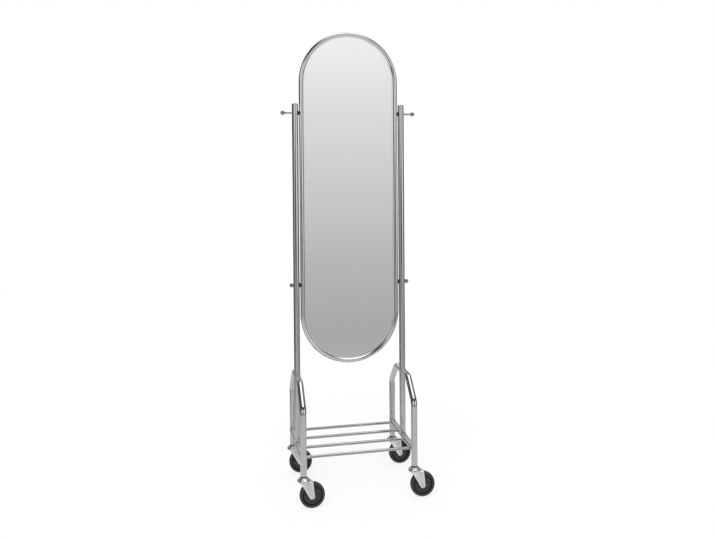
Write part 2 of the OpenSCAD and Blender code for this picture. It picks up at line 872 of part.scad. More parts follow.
module fork_front_left() { at_leg(-1, -1) fork(); }
module fork_front_right() { at_leg(1, -1) fork(); }
module fork_rear_left() { at_leg(-1, 1) fork(); }
module fork_rear_right() { at_leg(1, 1) fork(); }
module axle_front_left() { at_leg(-1, -1) axle(); }
module axle_front_right() { at_leg(1, -1) axle(); }
module axle_rear_left() { at_leg(-1, 1) axle(); }
module axle_rear_right() { at_leg(1, 1) axle(); }
module sleeve_front_left() { at_leg(-1, -1) axle_sleeve(); }
module sleeve_front_right() { at_leg(1, -1) axle_sleeve(); }
module sleeve_rear_left() { at_leg(-1, 1) axle_sleeve(); }
module sleeve_rear_right() { at_leg(1, 1) axle_sleeve(); }

// ---------- caster parts that roll ----------

// Wheel body: rim, web, ribs and hub
module wheel_body() {
  color([0.10, 0.10, 0.11])
    translate([trail, 0, axle_z])
      difference() {
        union() {
          difference() {
            bar_y(rim_r, -rim_half_width, rim_half_width);
            bar_y(rim_bore_r, -rim_half_width - 1, rim_half_width + 1);
          }
          bar_y(rim_bore_r + lap, -web_thickness / 2, web_thickness / 2);
          bar_y(hub_r, -hub_half_width, hub_half_width);
          for (i = [0 : rib_count - 1])
            rotate([0, i * 360 / rib_count, 0])
              translate([hub_r - 3 * lap, -rib_half_width, -rib_thickness / 2])
                cube([rim_bore_r - hub_r + 4 * lap, 2 * rib_half_width, rib_thickness]);
        }
        bar_y(wheel_bore_r, -hub_half_width - 1, hub_half_width + 1);
      }
}

// Tyre: rounded tread, with a step down to the rim in each side
module tyre() {
  color([0.13, 0.13, 0.14])
    translate([trail, 0, axle_z])
      rotate([90, 0, 0])
        rotate_extrude()
          difference() {
            intersection() {
              translate([rim_r, -tyre_width / 2])
                square([tyre_thickness, tyre_width]);
              translate([wheel_diameter / 2 - tread_round_radius, 0])
                circle(r = tread_round_radius);
            }
            translate([rim_r - 1, tyre_width / 2 - tyre_step_depth])
              square([tyre_step_width + 1, tyre_step_depth + 1]);
            translate([rim_r - 1, -tyre_width / 2 - 1])
              square([tyre_step_width + 1, tyre_step_depth + 1]);
          }
}

module wheel_front_left() { at_leg(-1, -1) wheel_body(); }
module wheel_front_right() { at_leg(1, -1) wheel_body(); }
module wheel_rear_left() { at_leg(-1, 1) wheel_body(); }
module wheel_rear_right() { at_leg(1, 1) wheel_body(); }
module tyre_front_left() { at_leg(-1, -1) tyre(); }
module tyre_front_right() { at_leg(1, -1) tyre(); }
module tyre_rear_left() { at_leg(-1, 1) tyre(); }
module tyre_rear_right() { at_leg(1, 1) tyre(); }

left_post();
right_post();
left_post_cap();
right_post_cap();
left_hoop();
right_hoop();
left_stay();
right_stay();
left_cross_tube();
right_cross_tube();
shelf_bar_1();
shelf_bar_2();
shelf_bar_3();
shelf_bar_4();
mirror_frame();
mirror_lip();
mirror_glass();
backing_board();
board_tabs();
board_screws();
spacers();
insert_nuts();
left_coat_hook();
right_coat_hook();
left_clamp_knob();
right_clamp_knob();
leg_plugs();
bearing_balls();
stem_front_left();
stem_front_right();
stem_rear_left();
stem_rear_right();
race_cap_front_left();
race_cap_front_right();
race_cap_rear_left();
race_cap_rear_right();
fork_front_left();
fork_front_right();
fork_rear_left();
fork_rear_right();
axle_front_left();
axle_front_right();
axle_rear_left();
axle_rear_right();
sleeve_front_left();
sleeve_front_right();
sleeve_rear_left();
sleeve_rear_right();
wheel_front_left();
wheel_front_right();
wheel_rear_left();
wheel_rear_right();
tyre_front_left();
tyre_front_right();
tyre_rear_left();
tyre_rear_right();
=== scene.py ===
# %% [markdown]
# # A rolling floor mirror
# This notebook dresses a tall mirror that hangs between two chrome posts on four casters. The tubes,
# the glass and the running gear come from an exact CAD model. Here they get their finishes, the pieces
# whose pressed or moulded shape matters are modelled, and the whole is lit and framed.
#
# Lengths are in metres. X runs to the right, Y from the front to the back, and Z up from the floor.

# %% Load the imported model
import json
import math

import bmesh
import bpy
from mathutils import Matrix, Vector

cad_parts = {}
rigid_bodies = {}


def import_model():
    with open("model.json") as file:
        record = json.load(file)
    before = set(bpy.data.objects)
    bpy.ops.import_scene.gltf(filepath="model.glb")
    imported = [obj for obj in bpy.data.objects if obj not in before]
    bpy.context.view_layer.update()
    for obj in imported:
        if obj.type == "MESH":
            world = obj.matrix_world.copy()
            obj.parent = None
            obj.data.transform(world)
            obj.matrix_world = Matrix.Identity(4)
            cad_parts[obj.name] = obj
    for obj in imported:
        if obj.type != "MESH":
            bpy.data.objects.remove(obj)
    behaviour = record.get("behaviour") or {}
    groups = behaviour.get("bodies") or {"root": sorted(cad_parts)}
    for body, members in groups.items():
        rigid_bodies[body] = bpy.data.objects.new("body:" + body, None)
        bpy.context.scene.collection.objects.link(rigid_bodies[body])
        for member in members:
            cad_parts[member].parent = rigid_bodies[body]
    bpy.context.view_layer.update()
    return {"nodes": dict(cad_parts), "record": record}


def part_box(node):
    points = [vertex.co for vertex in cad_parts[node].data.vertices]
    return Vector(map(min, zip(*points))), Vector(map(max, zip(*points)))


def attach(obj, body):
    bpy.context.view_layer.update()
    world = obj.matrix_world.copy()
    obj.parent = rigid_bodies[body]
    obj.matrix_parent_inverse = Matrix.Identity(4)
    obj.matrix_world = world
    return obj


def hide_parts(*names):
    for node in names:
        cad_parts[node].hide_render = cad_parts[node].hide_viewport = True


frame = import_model()
nodes = frame["nodes"]
bpy.ops.object.select_all(action="DESELECT")

# %% [markdown]
# ## The sizes that the pieces share
# A piece modelled here has to sit on the solids, so the few sizes that both need are measured from
# them once. Everything else is a size of the piece itself and is named where it is first used.

# %% Read the places from the solids
def middle(node):
    low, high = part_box(node)
    return (low + high) / 2


def span(node):
    low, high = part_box(node)
    return high - low


TUBE_R = span("left_stay").x / 2
POST_X = middle("right_stay").x
CROWN_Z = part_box("right_hoop")[1].z - TUBE_R
LEG_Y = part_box("right_hoop")[1].y - TUBE_R
CROSS_Z = middle("right_cross_tube").z
BAR_R = span("shelf_bar_1").z / 2
CORNERS = {
    "front_left": (-POST_X, -LEG_Y),
    "front_right": (POST_X, -LEG_Y),
    "rear_left": (-POST_X, LEG_Y),
    "rear_right": (POST_X, LEG_Y),
}
print("tube radius %.4f, posts at %.4f, hoop top %.4f, legs at %.4f" % (TUBE_R, POST_X, CROWN_Z, LEG_Y))

# %% [markdown]
# ## The camera
# The photograph was taken from the left of the middle, a little below shoulder height, with a lens
# slightly longer than a normal one. Its uprights stay parallel, which means that the camera looked
# almost level and the picture was moved down in the frame. A lens shift does the same here.

# %% Place the camera
PICTURE_WIDTH = 716
PICTURE_HEIGHT = 540
FOCAL_PIXELS = 735.472
CENTRE_PIXEL = (369.757, 188.532)
EYE = Vector((-0.58752, -3.01389, 1.28359))
YAW = math.radians(12.6304)
PITCH = math.radians(0.8209)
ROLL = math.radians(-0.4165)

ahead = Vector((math.sin(YAW) * math.cos(PITCH), math.cos(YAW) * math.cos(PITCH), -math.sin(PITCH)))
level_right = Vector((math.cos(YAW), -math.sin(YAW), 0))
level_up = level_right.cross(ahead)
right = math.cos(ROLL) * level_right + math.sin(ROLL) * level_up
up = -math.sin(ROLL) * level_right + math.cos(ROLL) * level_up

camera_data = bpy.data.cameras.new("camera")
camera_data.sensor_fit = "HORIZONTAL"
camera_data.sensor_width = 36
camera_data.lens = 36 * FOCAL_PIXELS / PICTURE_WIDTH
camera_data.shift_x = (PICTURE_WIDTH / 2 - CENTRE_PIXEL[0]) / PICTURE_WIDTH
camera_data.shift_y = (CENTRE_PIXEL[1] - PICTURE_HEIGHT / 2) / PICTURE_WIDTH
camera = bpy.data.objects.new("camera", camera_data)
bpy.context.scene.collection.objects.link(camera)
turn = Matrix((right, up, -ahead)).transposed().to_4x4()
camera.matrix_world = Matrix.Translation(EYE) @ turn
bpy.context.scene.camera = camera
bpy.context.scene.view_settings.view_transform = "Standard"
print("lens %.2f mm, shift %.4f, %.4f" % (camera_data.lens, camera_data.shift_x, camera_data.shift_y))

# %% [markdown]
# ## Small helpers for node trees
# Every finish is a node tree. Writing each node out takes four lines, so one helper adds a node and
# sets its sockets, and another joins two sockets. Numbers that are the same all over a surface stay
# on the shader's own sockets.

# %% Node helpers
def add_node(tree, kind, settings=None, inputs=None):
    node = tree.nodes.new(kind)
    for name, value in (settings or {}).items():
        setattr(node, name, value)
    for name, value in (inputs or {}).items():
        node.inputs[name].default_value = value
    return node


def join(tree, source, target):
    tree.links.new(source, target)


def ramp(tree, factor, stops):
    node = tree.nodes.new("ShaderNodeValToRGB")
    elements = node.color_ramp.elements
    while len(elements) < len(stops):
        elements.new(0.5)
    for element, (place, value) in zip(elements, stops):
        element.position = place
        element.color = (value, value, value, 1) if isinstance(value, float) else (*value, 1)
    join(tree, factor, node.inputs["Fac"])
    return node.outputs["Color"]


def maths(tree, operation, first, second=None):
    node = tree.nodes.new("ShaderNodeMath")
    node.operation = operation
    for socket, value in zip(node.inputs, (first, second)):
        if value is None:
            continue
        if isinstance(value, (int, float)):
            socket.default_value = value
        else:
            join(tree, value, socket)
    return node.outputs["Value"]


# %% [markdown]
# ## What the metal and the glass see
# Chrome and mirrors have next to no colour of their own: they show the room. In the photograph the
# glass fades from light at the top to mid grey at the foot, and each tube carries dark and light
# lines. So the world shows metal a studio: a grey room that gets lighter with height, a lit floor,
# a dark ceiling with one soft lamp, bright screens and dark sides. It is written in terms of the
# direction alone, so it stays put when the camera moves.
#
# The camera itself sees plain white, and matt surfaces get an even soft white light.
#
# The tables give an angle in degrees and a tone. The first one goes up from straight below to
# straight above. The other three go around the room at three heights, with the front at nought and
# the right at 90, and multiply the first one.

# %% Write down the tones of the room
ROOM_BY_HEIGHT = [
    (-90.0, 0.80), (-24.0, 0.80), (-17.0, 0.70), (-14.0, 0.46), (-12.0, 0.43), (-8.0, 0.49),
    (0.0, 0.67), (6.0, 0.81), (11.0, 0.97), (20.0, 0.95), (27.0, 0.46), (36.0, 0.05), (90.0, 0.03),
]
ROOM_BY_SIDE_ABOVE = [
    (-180.0, 0.60), (-160.0, 0.40), (-149.0, 0.02), (-141.0, 0.01), (-115.0, 0.01), (-98.0, 0.01),
    (-83.0, 0.22), (-58.0, 0.12), (-48.0, 1.65), (-24.0, 1.65), (-16.0, 0.30), (-5.0, 0.12),
    (3.0, 0.14), (6.0, 1.00), (16.0, 1.00), (29.0, 1.16), (47.0, 1.24), (62.0, 1.10),
    (72.0, 0.10), (118.0, 0.10), (132.0, 0.30), (149.0, 0.14), (162.0, 0.40), (180.0, 0.60),
]
ROOM_BY_SIDE_LEVEL = [
    (-180.0, 0.80), (-162.0, 0.60), (-141.0, 0.24), (-115.0, 0.16), (-103.0, 0.10), (-84.0, 0.42),
    (-62.0, 1.00), (-50.0, 0.70), (-30.0, 0.46), (-20.0, 0.14), (3.5, 0.06), (6.0, 1.00),
    (16.0, 1.00), (20.0, 1.76), (50.0, 1.80), (60.0, 0.80), (72.0, 0.12), (112.0, 0.16),
    (128.0, 0.60), (150.0, 0.50), (165.0, 0.60), (180.0, 0.80),
]
ROOM_BY_SIDE_BELOW = [
    (-180.0, 0.85), (-160.0, 0.60), (-140.0, 0.20), (-115.0, 0.34), (-100.0, 0.36), (-83.0, 0.22),
    (-66.0, 0.54), (-54.0, 0.85), (-46.0, 1.35), (-7.0, 1.35), (3.0, 1.10), (6.0, 1.00),
    (16.0, 1.00), (22.0, 0.88), (45.0, 0.82), (60.0, 1.05), (72.0, 0.72), (100.0, 0.60),
    (119.0, 0.72), (180.0, 0.85),
]
print("tones:", len(ROOM_BY_HEIGHT), "up,", len(ROOM_BY_SIDE_LEVEL), "around at eye level")

# %% [markdown]
# A ramp node reads its tones from nought to one. So the direction of a ray is first turned into two
# such places: how high it points, and how far round it points.

# %% Measure the direction of a ray
world = bpy.data.worlds.new("studio")
bpy.context.scene.world = world
world.use_nodes = True
sky = world.node_tree
sky.nodes.clear()
direction = add_node(sky, "ShaderNodeTexCoord").outputs["Generated"]
parts = add_node(sky, "ShaderNodeSeparateXYZ")
join(sky, direction, parts.inputs[0])
towards_right = parts.outputs["X"]
towards_back = parts.outputs["Y"]
upwards = parts.outputs["Z"]

height_angle = maths(sky, "ARCSINE", upwards)
height_place = maths(sky, "MULTIPLY_ADD", height_angle, 1 / math.pi)
height_place.node.inputs[2].default_value = 0.5

towards_front = maths(sky, "MULTIPLY", towards_back, -1.0)
side_angle = maths(sky, "ARCTAN2", towards_right, towards_front)
side_place = maths(sky, "MULTIPLY_ADD", side_angle, 0.5 / math.pi)
side_place.node.inputs[2].default_value = 0.5


def height_ramp(stops):
    """Ramp over the height in degrees"""
    return ramp(sky, height_place, [(degrees / 180 + 0.5, value) for degrees, value in stops])


def side_ramp(stops, brightest):
    """Ramp over the degrees around the room; a ramp holds tones up to one, so it is scaled"""
    shares = [(degrees / 360 + 0.5, value / brightest) for degrees, value in stops]
    return maths(sky, "MULTIPLY", ramp(sky, side_place, shares), brightest)


print("direction nodes:", len(sky.nodes))

# %% [markdown]
# Screens and dark walls stand on the floor and end under the ceiling. Between these heights the
# three tables around the room take over from each other, and outside them the sides don't matter.

# %% Build the walls
BRIGHTEST_SIDE = 2.0
LOW_TO_LEVEL = [(-11, 0.0), (-6, 1.0)]
LEVEL_TO_HIGH = [(-1, 0.0), (4, 1.0)]
WALL_BAND = [(-20, 0.0), (-12, 1.0), (24, 1.0), (38, 0.0)]


def blend_values(tree, factor, first, second):
    node = add_node(tree, "ShaderNodeMix", {"data_type": "FLOAT"})
    join(tree, factor, node.inputs[0])
    join(tree, first, node.inputs[2])
    join(tree, second, node.inputs[3])
    return node.outputs[0]


room = height_ramp(ROOM_BY_HEIGHT)
side_below = side_ramp(ROOM_BY_SIDE_BELOW, BRIGHTEST_SIDE)
side_level = side_ramp(ROOM_BY_SIDE_LEVEL, BRIGHTEST_SIDE)
side_above = side_ramp(ROOM_BY_SIDE_ABOVE, BRIGHTEST_SIDE)
lower_sides = blend_values(sky, height_ramp(LOW_TO_LEVEL), side_below, side_level)
side = blend_values(sky, height_ramp(LEVEL_TO_HIGH), lower_sides, side_above)
side_effect = maths(sky, "MULTIPLY", maths(sky, "SUBTRACT", side, 1.0), height_ramp(WALL_BAND))
side_effect = maths(sky, "ADD", side_effect, 1.0)
walls = maths(sky, "MULTIPLY", room, side_effect)
print("wall nodes:", len(sky.nodes))

# %% [markdown]
# The lamp under the ceiling is a rectangle, seen through the point where a ray meets the ceiling.
# Its light fades towards the sides, as it does in a diffuser that has its tubes in the middle. The
# ceiling also glows faintly to the right, and the wall behind the mirror is lit above the screens.

# %% Build the lamp, the ceiling and the back wall
CEILING_LAMP = 2.2
LAMP_PLACE = (0.10, -0.25)
LAMP_FADE_X = (0.16, 0.72)
LAMP_FADE_Y = (0.36, 0.54)
LEAST_UPWARDS = 0.05
CEILING_RIGHT = 0.45
CEILING_EDGE = [(30, 0.0), (50, 1.0)]
BACK_WALL = 0.45
SCREEN_TOP = [(8, 0.0), (15, 1.0)]


def fading(tree, distance, full, none):
    """One up to the first distance, nothing beyond the second one, and a smooth change between"""
    node = add_node(tree, "ShaderNodeMapRange", {"interpolation_type": "SMOOTHSTEP"},
                    {"From Min": full, "From Max": none, "To Min": 1.0, "To Max": 0.0})
    join(tree, distance, node.inputs["Value"])
    return node.outputs["Result"]


def lamp_share(towards, place, fade):
    """Share of the lamp's light along one side of the ceiling"""
    on_ceiling = maths(sky, "DIVIDE", towards, maths(sky, "MAXIMUM", upwards, LEAST_UPWARDS))
    distance = maths(sky, "ABSOLUTE", maths(sky, "ADD", on_ceiling, -place))
    return fading(sky, distance, *fade)


def glow(towards, strength, edge):
    """Light that grows in one direction, above an edge"""
    light = maths(sky, "MULTIPLY", maths(sky, "MAXIMUM", towards, 0.0), strength)
    return maths(sky, "MULTIPLY", light, height_ramp(edge))


in_x = lamp_share(towards_right, LAMP_PLACE[0], LAMP_FADE_X)
in_y = lamp_share(towards_back, LAMP_PLACE[1], LAMP_FADE_Y)
lamp = maths(sky, "MULTIPLY", maths(sky, "MULTIPLY", in_x, in_y), CEILING_LAMP)
ceiling_right = glow(towards_right, CEILING_RIGHT, CEILING_EDGE)
back_wall = glow(towards_back, BACK_WALL, SCREEN_TOP)
ceiling = maths(sky, "ADD", ceiling_right, back_wall)
studio = maths(sky, "ADD", maths(sky, "ADD", walls, ceiling), lamp)
print("nodes with the ceiling:", len(sky.nodes))

# %% [markdown]
# The light path tells the three uses of the world apart: metal and glass get the studio, matt
# surfaces the soft light, and the camera the white background.

# %% Give each kind of ray its view
SOFT_LIGHT = 0.80
WHITE = (1, 1, 1, 1)

paths = add_node(sky, "ShaderNodeLightPath")
to_metal = maths(sky, "MAXIMUM", paths.outputs["Is Glossy Ray"], paths.outputs["Is Transmission Ray"])
matt_view = add_node(sky, "ShaderNodeBackground", inputs={"Color": WHITE, "Strength": SOFT_LIGHT})
white_view = add_node(sky, "ShaderNodeBackground", inputs={"Color": WHITE, "Strength": 1.0})
metal_view = add_node(sky, "ShaderNodeBackground", inputs={"Strength": 1.0})
join(sky, studio, metal_view.inputs["Color"])


def choose_shader(tree, factor, first, second):
    node = add_node(tree, "ShaderNodeMixShader")
    join(tree, factor, node.inputs[0])
    join(tree, first.outputs[0], node.inputs[1])
    join(tree, second.outputs[0], node.inputs[2])
    return node


metal_or_matt = choose_shader(sky, to_metal, matt_view, metal_view)
seen = choose_shader(sky, paths.outputs["Is Camera Ray"], metal_or_matt, white_view)
world_output = add_node(sky, "ShaderNodeOutputWorld")
join(sky, seen.outputs[0], world_output.inputs["Surface"])
print("world nodes:", len(sky.nodes))

# %% [markdown]
# ## Floor and lamp
# The floor is a large pale sheet. It keeps a faint, soft shadow under the wheels, but the camera sees
# the rest of it as the same white as the world, so no horizon shows. Metal doesn't see the sheet: it
# sees the lit floor that is part of the world. One broad sun lamp gives the soft light a direction.

# %% Make the floor
FLOOR_SIZE = 12
FLOOR_TONE = 0.90
FLOOR_GLOW = 1.03
SHADOW_SHARE = 0.28

bpy.ops.mesh.primitive_plane_add(size=FLOOR_SIZE, location=(0, 0, 0))
floor = bpy.context.object
floor.name = "floor"
floor.visible_glossy = False
floor_finish = bpy.data.materials.new("pale_floor")
floor_finish.use_nodes = True
tree = floor_finish.node_tree
tree.nodes.clear()
paper = add_node(tree, "ShaderNodeBsdfDiffuse", inputs={"Color": (FLOOR_TONE, FLOOR_TONE, FLOOR_TONE, 1)})
shine = add_node(tree, "ShaderNodeEmission", inputs={"Color": WHITE, "Strength": FLOOR_GLOW})
share = add_node(tree, "ShaderNodeMixShader", inputs={0: SHADOW_SHARE})
join(tree, shine.outputs[0], share.inputs[1])
join(tree, paper.outputs[0], share.inputs[2])
ray = add_node(tree, "ShaderNodeLightPath")
by_ray = choose_shader(tree, ray.outputs["Is Camera Ray"], paper, share)
output = add_node(tree, "ShaderNodeOutputMaterial")
join(tree, by_ray.outputs[0], output.inputs["Surface"])
floor.data.materials.append(floor_finish)
print("floor", FLOOR_SIZE, "m wide")

# %% Make the sun lamp
LAMP_ENERGY = 1.1
LAMP_SPREAD = math.radians(50)
LAMP_TILT = (math.radians(32), math.radians(-18), 0)

lamp_data = bpy.data.lights.new("soft_lamp", "SUN")
lamp_data.energy = LAMP_ENERGY
lamp_data.angle = LAMP_SPREAD
lamp_object = bpy.data.objects.new("soft_lamp", lamp_data)
bpy.context.scene.collection.objects.link(lamp_object)
lamp_object.rotation_euler = LAMP_TILT
lamp_object.visible_glossy = False
print("lamp energy", LAMP_ENERGY)

# %% [markdown]
# ## Chrome
# Polished chrome plate reflects a little more than half of the light, evenly over the colours. What
# makes it look real is what disturbs the mirror: wiping marks that come and go over a few
# centimetres, and very fine lines from the polishing belt. Both go into the roughness and the bump
# only. The colour just gets a trace of lighter and darker patches.

# %% Helpers for finishes
NOISE_LOW = 0.3
NOISE_HIGH = 0.7


def start_material(name):
    material = bpy.data.materials.new(name)
    material.use_nodes = True
    tree = material.node_tree
    tree.nodes.clear()
    shader = add_node(tree, "ShaderNodeBsdfPrincipled")
    output = add_node(tree, "ShaderNodeOutputMaterial")
    join(tree, shader.outputs[0], output.inputs["Surface"])
    place = add_node(tree, "ShaderNodeTexCoord").outputs["Object"]
    return material, tree, shader, place


def noise(tree, place, scale, detail=3.0, stretch=(1, 1, 1), roughness=0.5):
    mapping = add_node(tree, "ShaderNodeMapping")
    mapping.inputs["Scale"].default_value = stretch
    join(tree, place, mapping.inputs["Vector"])
    texture = add_node(tree, "ShaderNodeTexNoise", inputs={"Scale": scale, "Detail": detail})
    texture.inputs["Roughness"].default_value = roughness
    join(tree, mapping.outputs[0], texture.inputs["Vector"])
    return texture.outputs["Fac"]


def between(tree, factor, low, high):
    """Noise lies mostly around its middle, so that part of it is stretched from low to high"""
    node = add_node(tree, "ShaderNodeMapRange")
    node.inputs["From Min"].default_value = NOISE_LOW
    node.inputs["From Max"].default_value = NOISE_HIGH
    node.inputs["To Min"].default_value = low
    node.inputs["To Max"].default_value = high
    join(tree, factor, node.inputs["Value"])
    return node.outputs["Result"]


def mix_colours(tree, factor, first, second):
    node = add_node(tree, "ShaderNodeMix", {"data_type": "RGBA"})
    node.inputs[6].default_value = (*first, 1)
    node.inputs[7].default_value = (*second, 1)
    join(tree, factor, node.inputs[0])
    return node.outputs[2]


def bump(tree, shader, height, strength, distance):
    node = add_node(tree, "ShaderNodeBump", inputs={"Strength": strength, "Distance": distance})
    join(tree, height, node.inputs["Height"])
    join(tree, node.outputs[0], shader.inputs["Normal"])
    return node


def colour_patches(tree, shader, factor, dark, light):
    join(tree, mix_colours(tree, factor, dark, light), shader.inputs["Base Color"])


print("helpers for finishes ready")

# %% [markdown]
# The polishing lines run along each tube, so the finish is told in which direction to draw them out.
# Patterns are scaled per metre. Depths are in metres too, and are a tenth of a millimetre at most.

# %% Chrome material
MARK_SCALE = 38
SMEAR_SCALE = 110
SMEAR_STRETCH = (1, 1, 0.35)
LINE_SCALE = 900
LINE_STRENGTH = 0.35
LINES_UPRIGHT = (1, 1, 0.02)
LINES_ALONG_X = (0.02, 1, 1)
LINES_ALONG_Y = (1, 0.02, 1)
NO_LINES = (1, 1, 1)


def plated_metal(name, dark, light, smooth, rough, lines=NO_LINES, depth=0.00002):
    material, tree, shader, place = start_material(name)
    shader.inputs["Metallic"].default_value = 1.0
    marks = noise(tree, place, MARK_SCALE, 4.0)
    colour_patches(tree, shader, between(tree, marks, 0.0, 1.0), dark, light)
    smears = noise(tree, place, SMEAR_SCALE, 5.0, SMEAR_STRETCH)
    join(tree, between(tree, smears, smooth, rough), shader.inputs["Roughness"])
    fine_lines = noise(tree, place, LINE_SCALE, 2.0, lines)
    bump(tree, shader, fine_lines, LINE_STRENGTH, depth)
    return material


chrome_tube = plated_metal(
    "chrome_tube", dark=(0.545, 0.552, 0.560), light=(0.590, 0.596, 0.602),
    smooth=0.045, rough=0.085, lines=LINES_UPRIGHT)
chrome_frame = plated_metal(
    "chrome_frame", dark=(0.60, 0.606, 0.612), light=(0.66, 0.665, 0.67),
    smooth=0.04, rough=0.08, lines=LINES_UPRIGHT)
# Painted shade: the hooks' chrome is darkened to about half the tubes' tone, so their thin rods look dark.
chrome_knob = plated_metal(
    "chrome_knob", dark=(0.27, 0.275, 0.28), light=(0.32, 0.325, 0.33), smooth=0.03, rough=0.07)
chrome_cap = plated_metal(
    "chrome_cap", dark=(0.36, 0.365, 0.37), light=(0.42, 0.425, 0.43), smooth=0.04, rough=0.09)
chrome_bar = plated_metal(
    "chrome_bar", dark=(0.40, 0.407, 0.415), light=(0.445, 0.451, 0.457),
    smooth=0.17, rough=0.24, lines=LINES_ALONG_X, depth=0.00001)
chrome_cross = plated_metal(
    "chrome_cross", dark=(0.545, 0.552, 0.560), light=(0.590, 0.596, 0.602),
    smooth=0.05, rough=0.09, lines=LINES_ALONG_Y)
# Painted highlight: the lip around the glass gets chrome far lighter than real plate, for its bright line.
lip_painted_highlight = plated_metal(
    "lip_painted_highlight", dark=(0.90, 0.905, 0.91), light=(0.95, 0.955, 0.96), smooth=0.10, rough=0.18)
weld_chrome = plated_metal(
    "weld_chrome", dark=(0.50, 0.507, 0.515), light=(0.56, 0.566, 0.572),
    smooth=0.12, rough=0.26, depth=0.00010)
print("chrome finishes:", chrome_tube.name, chrome_bar.name, chrome_cross.name, lip_painted_highlight.name)

# %% [markdown]
# ## The mirror glass
# Silvered glass reflects about nine tenths of the light. A faint haze of dust and wiping marks in
# the roughness keeps it from looking like a hole in the picture.

# %% Mirror glass material
TINT_SCALE = 3.0
HAZE_SCALE = 14
RIPPLE_SCALE = 5

mirror_glass, tree, shader, place = start_material("mirror_glass")
shader.inputs["Metallic"].default_value = 1.0
tint = noise(tree, place, TINT_SCALE, 2.0)
colour_patches(tree, shader, tint, (0.885, 0.895, 0.893), (0.905, 0.912, 0.910))
haze = noise(tree, place, HAZE_SCALE, 6.0, (1, 1, 0.4), 0.6)
join(tree, between(tree, haze, 0.004, 0.016), shader.inputs["Roughness"])
ripple = noise(tree, place, RIPPLE_SCALE, 1.0)
bump(tree, shader, ripple, 0.10, 0.00002)
print(mirror_glass.name)

# %% [markdown]
# ## Plated steel, turned steel and small zinc parts
# The caster forks and bearing caps are pressed from sheet and plated, so they reflect softly. Axles
# and stems are turned and a little brighter. Tabs and screws are zinc plated and mottled. All of
# them are the same finish as the chrome, only rougher and without its polishing lines.

# %% Steel and brass materials
plated_steel = plated_metal(
    "plated_steel", dark=(0.80, 0.805, 0.81), light=(0.88, 0.885, 0.89),
    smooth=0.24, rough=0.36, depth=0.00006)
pressed_cap = plated_metal(
    "pressed_cap", dark=(0.60, 0.605, 0.61), light=(0.68, 0.685, 0.69),
    smooth=0.18, rough=0.28, depth=0.00006)
# Painted highlight: lighter steel for the fork's raised rim, for the light its edge catches; also on the
# axle seats.
painted_highlight_steel = plated_metal(
    "painted_highlight_steel", dark=(0.90, 0.905, 0.91), light=(0.95, 0.955, 0.96),
    smooth=0.24, rough=0.34, depth=0.00004)
axle_steel = plated_metal(
    "axle_steel", dark=(0.62, 0.625, 0.63), light=(0.70, 0.705, 0.71),
    smooth=0.16, rough=0.28, depth=0.00004)
bearing_steel = plated_metal(
    "bearing_steel", dark=(0.60, 0.605, 0.61), light=(0.66, 0.665, 0.67), smooth=0.08, rough=0.20)
steel_small = plated_metal(
    "steel_small", dark=(0.52, 0.53, 0.54), light=(0.66, 0.67, 0.68),
    smooth=0.26, rough=0.44, depth=0.00008)
brass = plated_metal(
    "brass", dark=(0.60, 0.46, 0.20), light=(0.72, 0.58, 0.28),
    smooth=0.16, rough=0.30, depth=0.00004)
print("steel finishes:", plated_steel.name, pressed_cap.name, axle_steel.name, steel_small.name, brass.name)

# %% [markdown]
# ## Plastics and rubber
# The spacers and the leg plugs are moulded with a fine satin grain. The wheels are charcoal plastic
# with a softer tyre. None of them is one even colour: handling and dust lighten them in patches.

# %% Plastic and rubber materials
PATCH_SCALE = 45
GRAIN_STRENGTH = 0.5


def moulded(name, dark, light, smooth, rough, grain_scale, grain_depth):
    material, tree, shader, place = start_material(name)
    patches = noise(tree, place, PATCH_SCALE, 4.0)
    colour_patches(tree, shader, between(tree, patches, 0.0, 1.0), dark, light)
    grain = noise(tree, place, grain_scale, 3.0)
    join(tree, between(tree, grain, smooth, rough), shader.inputs["Roughness"])
    bump(tree, shader, grain, GRAIN_STRENGTH, grain_depth)
    return material


black_plastic = moulded(
    "black_plastic", dark=(0.006, 0.006, 0.007), light=(0.011, 0.011, 0.012),
    smooth=0.38, rough=0.52, grain_scale=1400, grain_depth=0.00008)
wheel_plastic = moulded(
    "wheel_plastic", dark=(0.039, 0.039, 0.040), light=(0.056, 0.056, 0.057),
    smooth=0.40, rough=0.56, grain_scale=1100, grain_depth=0.00010)
tyre_rubber = moulded(
    "tyre", dark=(0.025, 0.025, 0.026), light=(0.038, 0.038, 0.039),
    smooth=0.50, rough=0.68, grain_scale=900, grain_depth=0.00014)
# Painted shade: near-black plastic for the groove between tyre and wheel, for the shade in its recess.
groove_painted_shade = moulded(
    "groove_painted_shade", dark=(0.004, 0.004, 0.004), light=(0.009, 0.009, 0.009),
    smooth=0.55, rough=0.75, grain_scale=1100, grain_depth=0.00010)
print("plastics and rubber:", black_plastic.name, wheel_plastic.name, tyre_rubber.name, groove_painted_shade.name)

# %% [markdown]
# ## Hardboard
# The board behind the glass is hardboard with its meshed side out: brown fibres under a fine woven
# print that the press screen leaves. The fibres are stretched noise, and the print is two crossed
# waves in the bump.

# %% Hardboard material
FIBRE_SCALE = 260
MESH_SCALE = 130
MESH_WOBBLE = 0.6
FIBRE_SHARE = 0.6

